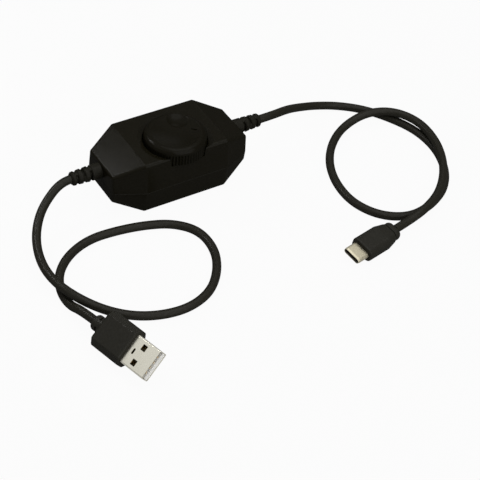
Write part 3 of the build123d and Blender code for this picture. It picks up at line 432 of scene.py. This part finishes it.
def plated_metal(name, pale, warm, roughness, stretch=EVEN):
    """Plated sheet metal with faint rolling lines and duller handled patches."""
    graph = Graph(bpy.data.materials.new(name))
    lines = graph.noise(LINES_PER_METRE, detail=3, stretch=stretch)
    patches = graph.noise(PATCHES_PER_METRE, detail=3)
    rougher_lines = (lines - NOISE_MIDDLE) * LINE_IN_ROUGHNESS
    duller_patches = graph.spread(patches, PATCH_STARTS, PATCH_FULL) * PATCH_IN_ROUGHNESS
    return graph.surface(
        Base_Color=graph.blend(patches * PATCH_IN_COLOUR + lines * LINE_IN_COLOUR, pale, warm),
        Metallic=1.0,
        Roughness=roughness + rougher_lines + duller_patches,
        Normal=graph.bump(lines, LINE_DEPTH),
    )


shell_nickel = plated_metal(
    "shell_nickel", pale=(0.76, 0.74, 0.65), warm=(0.70, 0.675, 0.57), roughness=0.26, stretch=(4, 0.4, 4)
)
dull_nickel = plated_metal(
    "dull_nickel", pale=(0.49, 0.455, 0.345), warm=(0.42, 0.385, 0.285), roughness=0.42, stretch=(0.4, 4, 4)
)
screw_zinc = plated_metal(
    "screw_zinc", pale=(0.50, 0.50, 0.52), warm=(0.40, 0.40, 0.42), roughness=0.34
)
tin_plate = plated_metal(
    "tin_plate", pale=(0.66, 0.66, 0.65), warm=(0.56, 0.56, 0.54), roughness=0.38, stretch=(1, 1, 6)
)
drawn_aluminium = plated_metal(
    "drawn_aluminium", pale=(0.78, 0.78, 0.78), warm=(0.70, 0.70, 0.71), roughness=0.32, stretch=(1, 1, 0.2)
)
contact_gold = plated_metal(
    "contact_gold", pale=(0.92, 0.68, 0.30), warm=(0.84, 0.58, 0.22), roughness=0.22, stretch=(3, 1, 3)
)
spring_brass = plated_metal(
    "spring_brass", pale=(0.80, 0.58, 0.27), warm=(0.70, 0.48, 0.20), roughness=0.30, stretch=(1, 4, 1)
)
dress(shell_nickel, "usb_a_shell")
dress(dull_nickel, "usb_c_shell")
dress(screw_zinc, "case_screws")
dress(tin_plate, "pot_cover", "pot_terminals")
dress(drawn_aluminium, "capacitor")
dress(contact_gold, "usb_a_contacts", "usb_c_contacts")
dress(spring_brass, "pot_wiper")

# %% [markdown]
# Inside the plugs and the case are small moulded pieces, the pot's nylon shaft and the wires' sleeves among
# them. Most are hidden, but the part may be opened, so each gets a simple finish of its own. One noise is
# enough for it: a little cloudiness in the colour, the shine and the surface.

# %% Small plastics
CLOUDY_PER_METRE = 400
CLOUDY_IN_ROUGHNESS = 0.12
CLOUDY_DEPTH = 0.01 * MM


def cloudy_plastic(name, first, second, roughness):
    """Plain moulded plastic with a slight cloudiness."""
    graph = Graph(bpy.data.materials.new(name))
    cloud = graph.noise(CLOUDY_PER_METRE, detail=3)
    return graph.surface(
        Base_Color=graph.blend(cloud, first, second),
        Roughness=roughness + (cloud - NOISE_MIDDLE) * CLOUDY_IN_ROUGHNESS,
        Normal=graph.bump(cloud, CLOUDY_DEPTH),
    )


insulator_black = cloudy_plastic(
    "insulator_black", (0.012, 0.011, 0.010), (0.018, 0.017, 0.015), roughness=0.45
)
pot_phenolic = cloudy_plastic("pot_phenolic", (0.16, 0.08, 0.035), (0.22, 0.12, 0.055), roughness=0.55)
shaft_nylon = cloudy_plastic("shaft_nylon", (0.70, 0.69, 0.64), (0.78, 0.77, 0.73), roughness=0.42)
chip_epoxy = cloudy_plastic("chip_epoxy", (0.022, 0.022, 0.022), (0.034, 0.034, 0.034), roughness=0.58)
resistor_glaze = cloudy_plastic(
    "resistor_glaze", (0.030, 0.030, 0.035), (0.045, 0.045, 0.052), roughness=0.25
)
wire_red = cloudy_plastic("wire_red", (0.46, 0.025, 0.025), (0.56, 0.035, 0.035), roughness=0.36)
wire_black = cloudy_plastic("wire_black", (0.016, 0.016, 0.016), (0.024, 0.024, 0.024), roughness=0.38)
dress(insulator_black, "usb_c_insulator")
dress(pot_phenolic, "pot_base")
dress(shaft_nylon, "pot_shaft")
dress(chip_epoxy, "pwm_chip", "mosfet", "diode")
dress(resistor_glaze, "resistors")
dress(wire_red, "input_wire_positive", "output_wire_positive")
dress(wire_black, "input_wire_negative", "output_wire_negative")

# %% [markdown]
# The USB-A plug's insulator is white plastic. Further in, where the shell's windows show it, its colour is
# painted dark brown: painted shade for the shadow inside the shell. It is one piece in CAD, so the painted
# shade is laid on by depth. The depth is measured along the plug: a dot product with the plug's direction
# tells how far along it a point lies, and the tip of the shell lies a known distance along.

# %% White insulator with painted shade
PLUG_AXIS = (0.216163, -0.972732, 0.084063)
PLUG_TIP = 82.41 * MM
LIP_DEPTH = 1.0 * MM
LIP_FADE = 0.8 * MM
LIP_WHITE = (0.90, 0.89, 0.85)
# Painted shade: this dark brown stands for the shadow inside the shell, not for a brown core.
PAINTED_SHADE_BROWN = (0.060, 0.045, 0.015)
PAINTED_SHADE_IN_COLOUR = 0.96
LIP_CLOUD_IN_COLOUR = 0.04
LIP_ROUGHNESS = 0.38


def insulator_white():
    """White plastic at the plug's mouth, with painted shade in dark brown further in."""
    graph = Graph(bpy.data.materials.new("insulator_white"))
    cloud = graph.noise(CLOUDY_PER_METRE, detail=3)
    sockets = {0: graph.place(), 1: PLUG_AXIS}
    along = graph.node("ShaderNodeVectorMath", {"operation": "DOT_PRODUCT"}, sockets, "Value")
    # Painted shade: 0 on the white lip, rising to 1 over the fade as the point lies deeper in the shell.
    painted_shade_mask = graph.spread(PLUG_TIP - along, LIP_DEPTH, LIP_DEPTH + LIP_FADE)
    painted_shade_amount = painted_shade_mask * PAINTED_SHADE_IN_COLOUR + cloud * LIP_CLOUD_IN_COLOUR
    return graph.surface(
        Base_Color=graph.blend(painted_shade_amount, LIP_WHITE, PAINTED_SHADE_BROWN),
        Roughness=LIP_ROUGHNESS + (cloud - NOISE_MIDDLE) * CLOUDY_IN_ROUGHNESS,
        Normal=graph.bump(cloud, CLOUDY_DEPTH),
    )


dress(insulator_white(), "usb_a_insulator")

# %% [markdown]
# The circuit board is glass laminate under green solder mask. Copper tracks run under the mask, where it
# looks paler and stands up a little. Tracks could be drawn one by one, but the board is hidden in the case,
# so the edges of a cell texture, which meet as a net of short straight lines, are enough.

# %% Board
TRACK_CELLS_PER_METRE = 260.0
TRACK_WANDER = 0.35
TRACK_HALF_WIDTH = 0.07
TRACK_EDGE = 0.10
TRACK_IN_COLOUR = 0.8
MASK_CLOUD_IN_COLOUR = 0.2
MASK_CLOUDS_PER_METRE = 300
MASK_GREEN = (0.012, 0.085, 0.032)
TRACK_GREEN = (0.03, 0.20, 0.075)
MASK_ROUGHNESS = 0.30
MASK_CLOUD_IN_ROUGHNESS = 0.08
TRACK_HEIGHT = 0.03 * MM


def solder_mask():
    """Green solder mask, paler where copper tracks run under it."""
    graph = Graph(bpy.data.materials.new("board_laminate"))
    cells = graph.node(
        "ShaderNodeTexVoronoi",
        {"feature": "DISTANCE_TO_EDGE"},
        {"Vector": graph.place(), "Scale": TRACK_CELLS_PER_METRE, "Randomness": TRACK_WANDER},
    )
    track = 1 - graph.spread(cells, TRACK_HALF_WIDTH, TRACK_EDGE)
    cloud = graph.noise(MASK_CLOUDS_PER_METRE, detail=2)
    paler = track * TRACK_IN_COLOUR + cloud * MASK_CLOUD_IN_COLOUR
    return graph.surface(
        Base_Color=graph.blend(paler, MASK_GREEN, TRACK_GREEN),
        Roughness=MASK_ROUGHNESS + cloud * MASK_CLOUD_IN_ROUGHNESS,
        Normal=graph.bump(track, TRACK_HEIGHT),
    )


dress(solder_mask(), "circuit_board")

# %% [markdown]
# The photograph is a cut-out on pure white, so the floor is a large white sheet. It could be lit until it is
# white, but that much light would wash out the black plastic. For the camera most of it glows at strength 1
# instead, which is white: the ground stays clean, while the share that is only lit keeps a soft shadow under
# the object. Mirrors see a third of that glow, enough for the metal to look as if it stood on white, and not
# so much that the black sides turn pale.

# %% Floor
FLOOR_SIDE = 6.0
FLOOR_DROP = 0.02 * MM
FLOOR_GLOW = 0.95
PAPER = (0.42, 0.42, 0.42, 1)
WHITE_STRENGTH = 1.0
MIRROR_SHARE = 0.35

floor_mesh = bpy.data.meshes.new("floor")
floor_shape = bmesh.new()
bmesh.ops.create_grid(floor_shape, x_segments=1, y_segments=1, size=FLOOR_SIDE / 2)
floor_shape.to_mesh(floor_mesh)
floor_shape.free()
floor = add_to_scene("floor", floor_mesh)
floor.location.z = -FLOOR_DROP
floor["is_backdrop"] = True


def share_seen(graph):
    """How much of a white ground a ray sees: all for the camera, a part for mirrors and clear things."""
    mirrored = graph.node("ShaderNodeLightPath", {}, {}, "Is Glossy Ray")
    mirrored = mirrored + graph.node("ShaderNodeLightPath", {}, {}, "Is Transmission Ray")
    return graph.node("ShaderNodeLightPath", {}, {}, "Is Camera Ray") + MIRROR_SHARE * mirrored


sheet = Graph(bpy.data.materials.new("floor_sheet"))
paper = sheet.node("ShaderNodeBsdfDiffuse", {}, {"Color": PAPER})
glow = sheet.node("ShaderNodeEmission", {}, {"Strength": WHITE_STRENGTH})
cover = sheet.node("ShaderNodeMixShader", {}, {0: share_seen(sheet) * FLOOR_GLOW, 1: paper, 2: glow})
sheet.node("ShaderNodeOutputMaterial", {}, {"Surface": cover})
floor_mesh.materials.append(sheet.owner)
print("floor side in m:", FLOOR_SIDE, "glow", FLOOR_GLOW)

# %% [markdown]
# Beyond the floor is the sky, which low views show. A photographer would hang a white backdrop there. The
# world can do that in the same way as the floor: it is white for the camera, and lights the object only as a
# dim even grey.

# %% World
WHITE = (1, 1, 1, 1)
WORLD_STRENGTH = 0.08

studio = Graph(bpy.data.worlds.new("studio"))
scene.world = studio.owner
dim = studio.node("ShaderNodeBackground", {}, {"Color": WHITE, "Strength": WORLD_STRENGTH})
bright = studio.node("ShaderNodeBackground", {}, {"Color": WHITE, "Strength": WHITE_STRENGTH})
sky = studio.node("ShaderNodeMixShader", {}, {0: share_seen(studio), 1: dim, 2: bright})
studio.node("ShaderNodeOutputWorld", {}, {"Surface": sky})
print("world strength", WORLD_STRENGTH)

# %% [markdown]
# A wide panel overhead and another in front give most of the light. Black plastic is seen by what it
# mirrors, so three smaller softboxes each hang where one face mirrors them. A small near one behind the case
# makes the sheen on its left slope, a high one gives the dial its soft crescent, and a low one at the back
# right brightens the far edge of the USB-A plug. Lamps are usually set by their power, but each of these is
# described by its own brightness, which is what a mirror shows, and the power follows from its area.

# %% Lights
SUBJECT = Vector((0.02, -0.035, 0.01))


def softbox(name, place, side, brightness):
    """A square softbox that faces the subject, where a brightness of 1 is white."""
    lamp = bpy.data.lights.new(name, "AREA")
    lamp.shape = "SQUARE"
    lamp.size = side
    lamp.energy = brightness * pi * side**2
    box = add_to_scene(name, lamp)
    box.location = place
    box.rotation_mode = "QUATERNION"
    box.rotation_quaternion = (SUBJECT - box.location).to_track_quat("-Z", "Y")
    print(name, "energy", round(lamp.energy, 2))


softbox("top_panel", place=(-0.15, 0.15, 1.20), side=2.6, brightness=0.50)
softbox("back_box", place=(-0.128, 0.146, 0.192), side=0.05, brightness=22.0)
softbox("high_box", place=(0.13, -0.05, 0.90), side=0.68, brightness=1.8)
softbox("right_box", place=(0.44, 0.56, 0.38), side=0.20, brightness=1.2)
softbox("front_panel", place=(0.10, -1.10, 0.60), side=1.4, brightness=1.6)

# %% [markdown]
# Standard is Blender's plain view: a colour comes out as it was written. The two boxes printed here show
# that the finished model stays within a quarter of a millimetre of the solids. That small growth is at the
# cords, because Blender counts a curve's control points in its box, and the curve runs just inside them.

# %% Finish
scene.view_settings.view_transform = "Standard"
new_low, new_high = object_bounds()
print("visual box in mm:", in_millimetres(new_high - new_low))
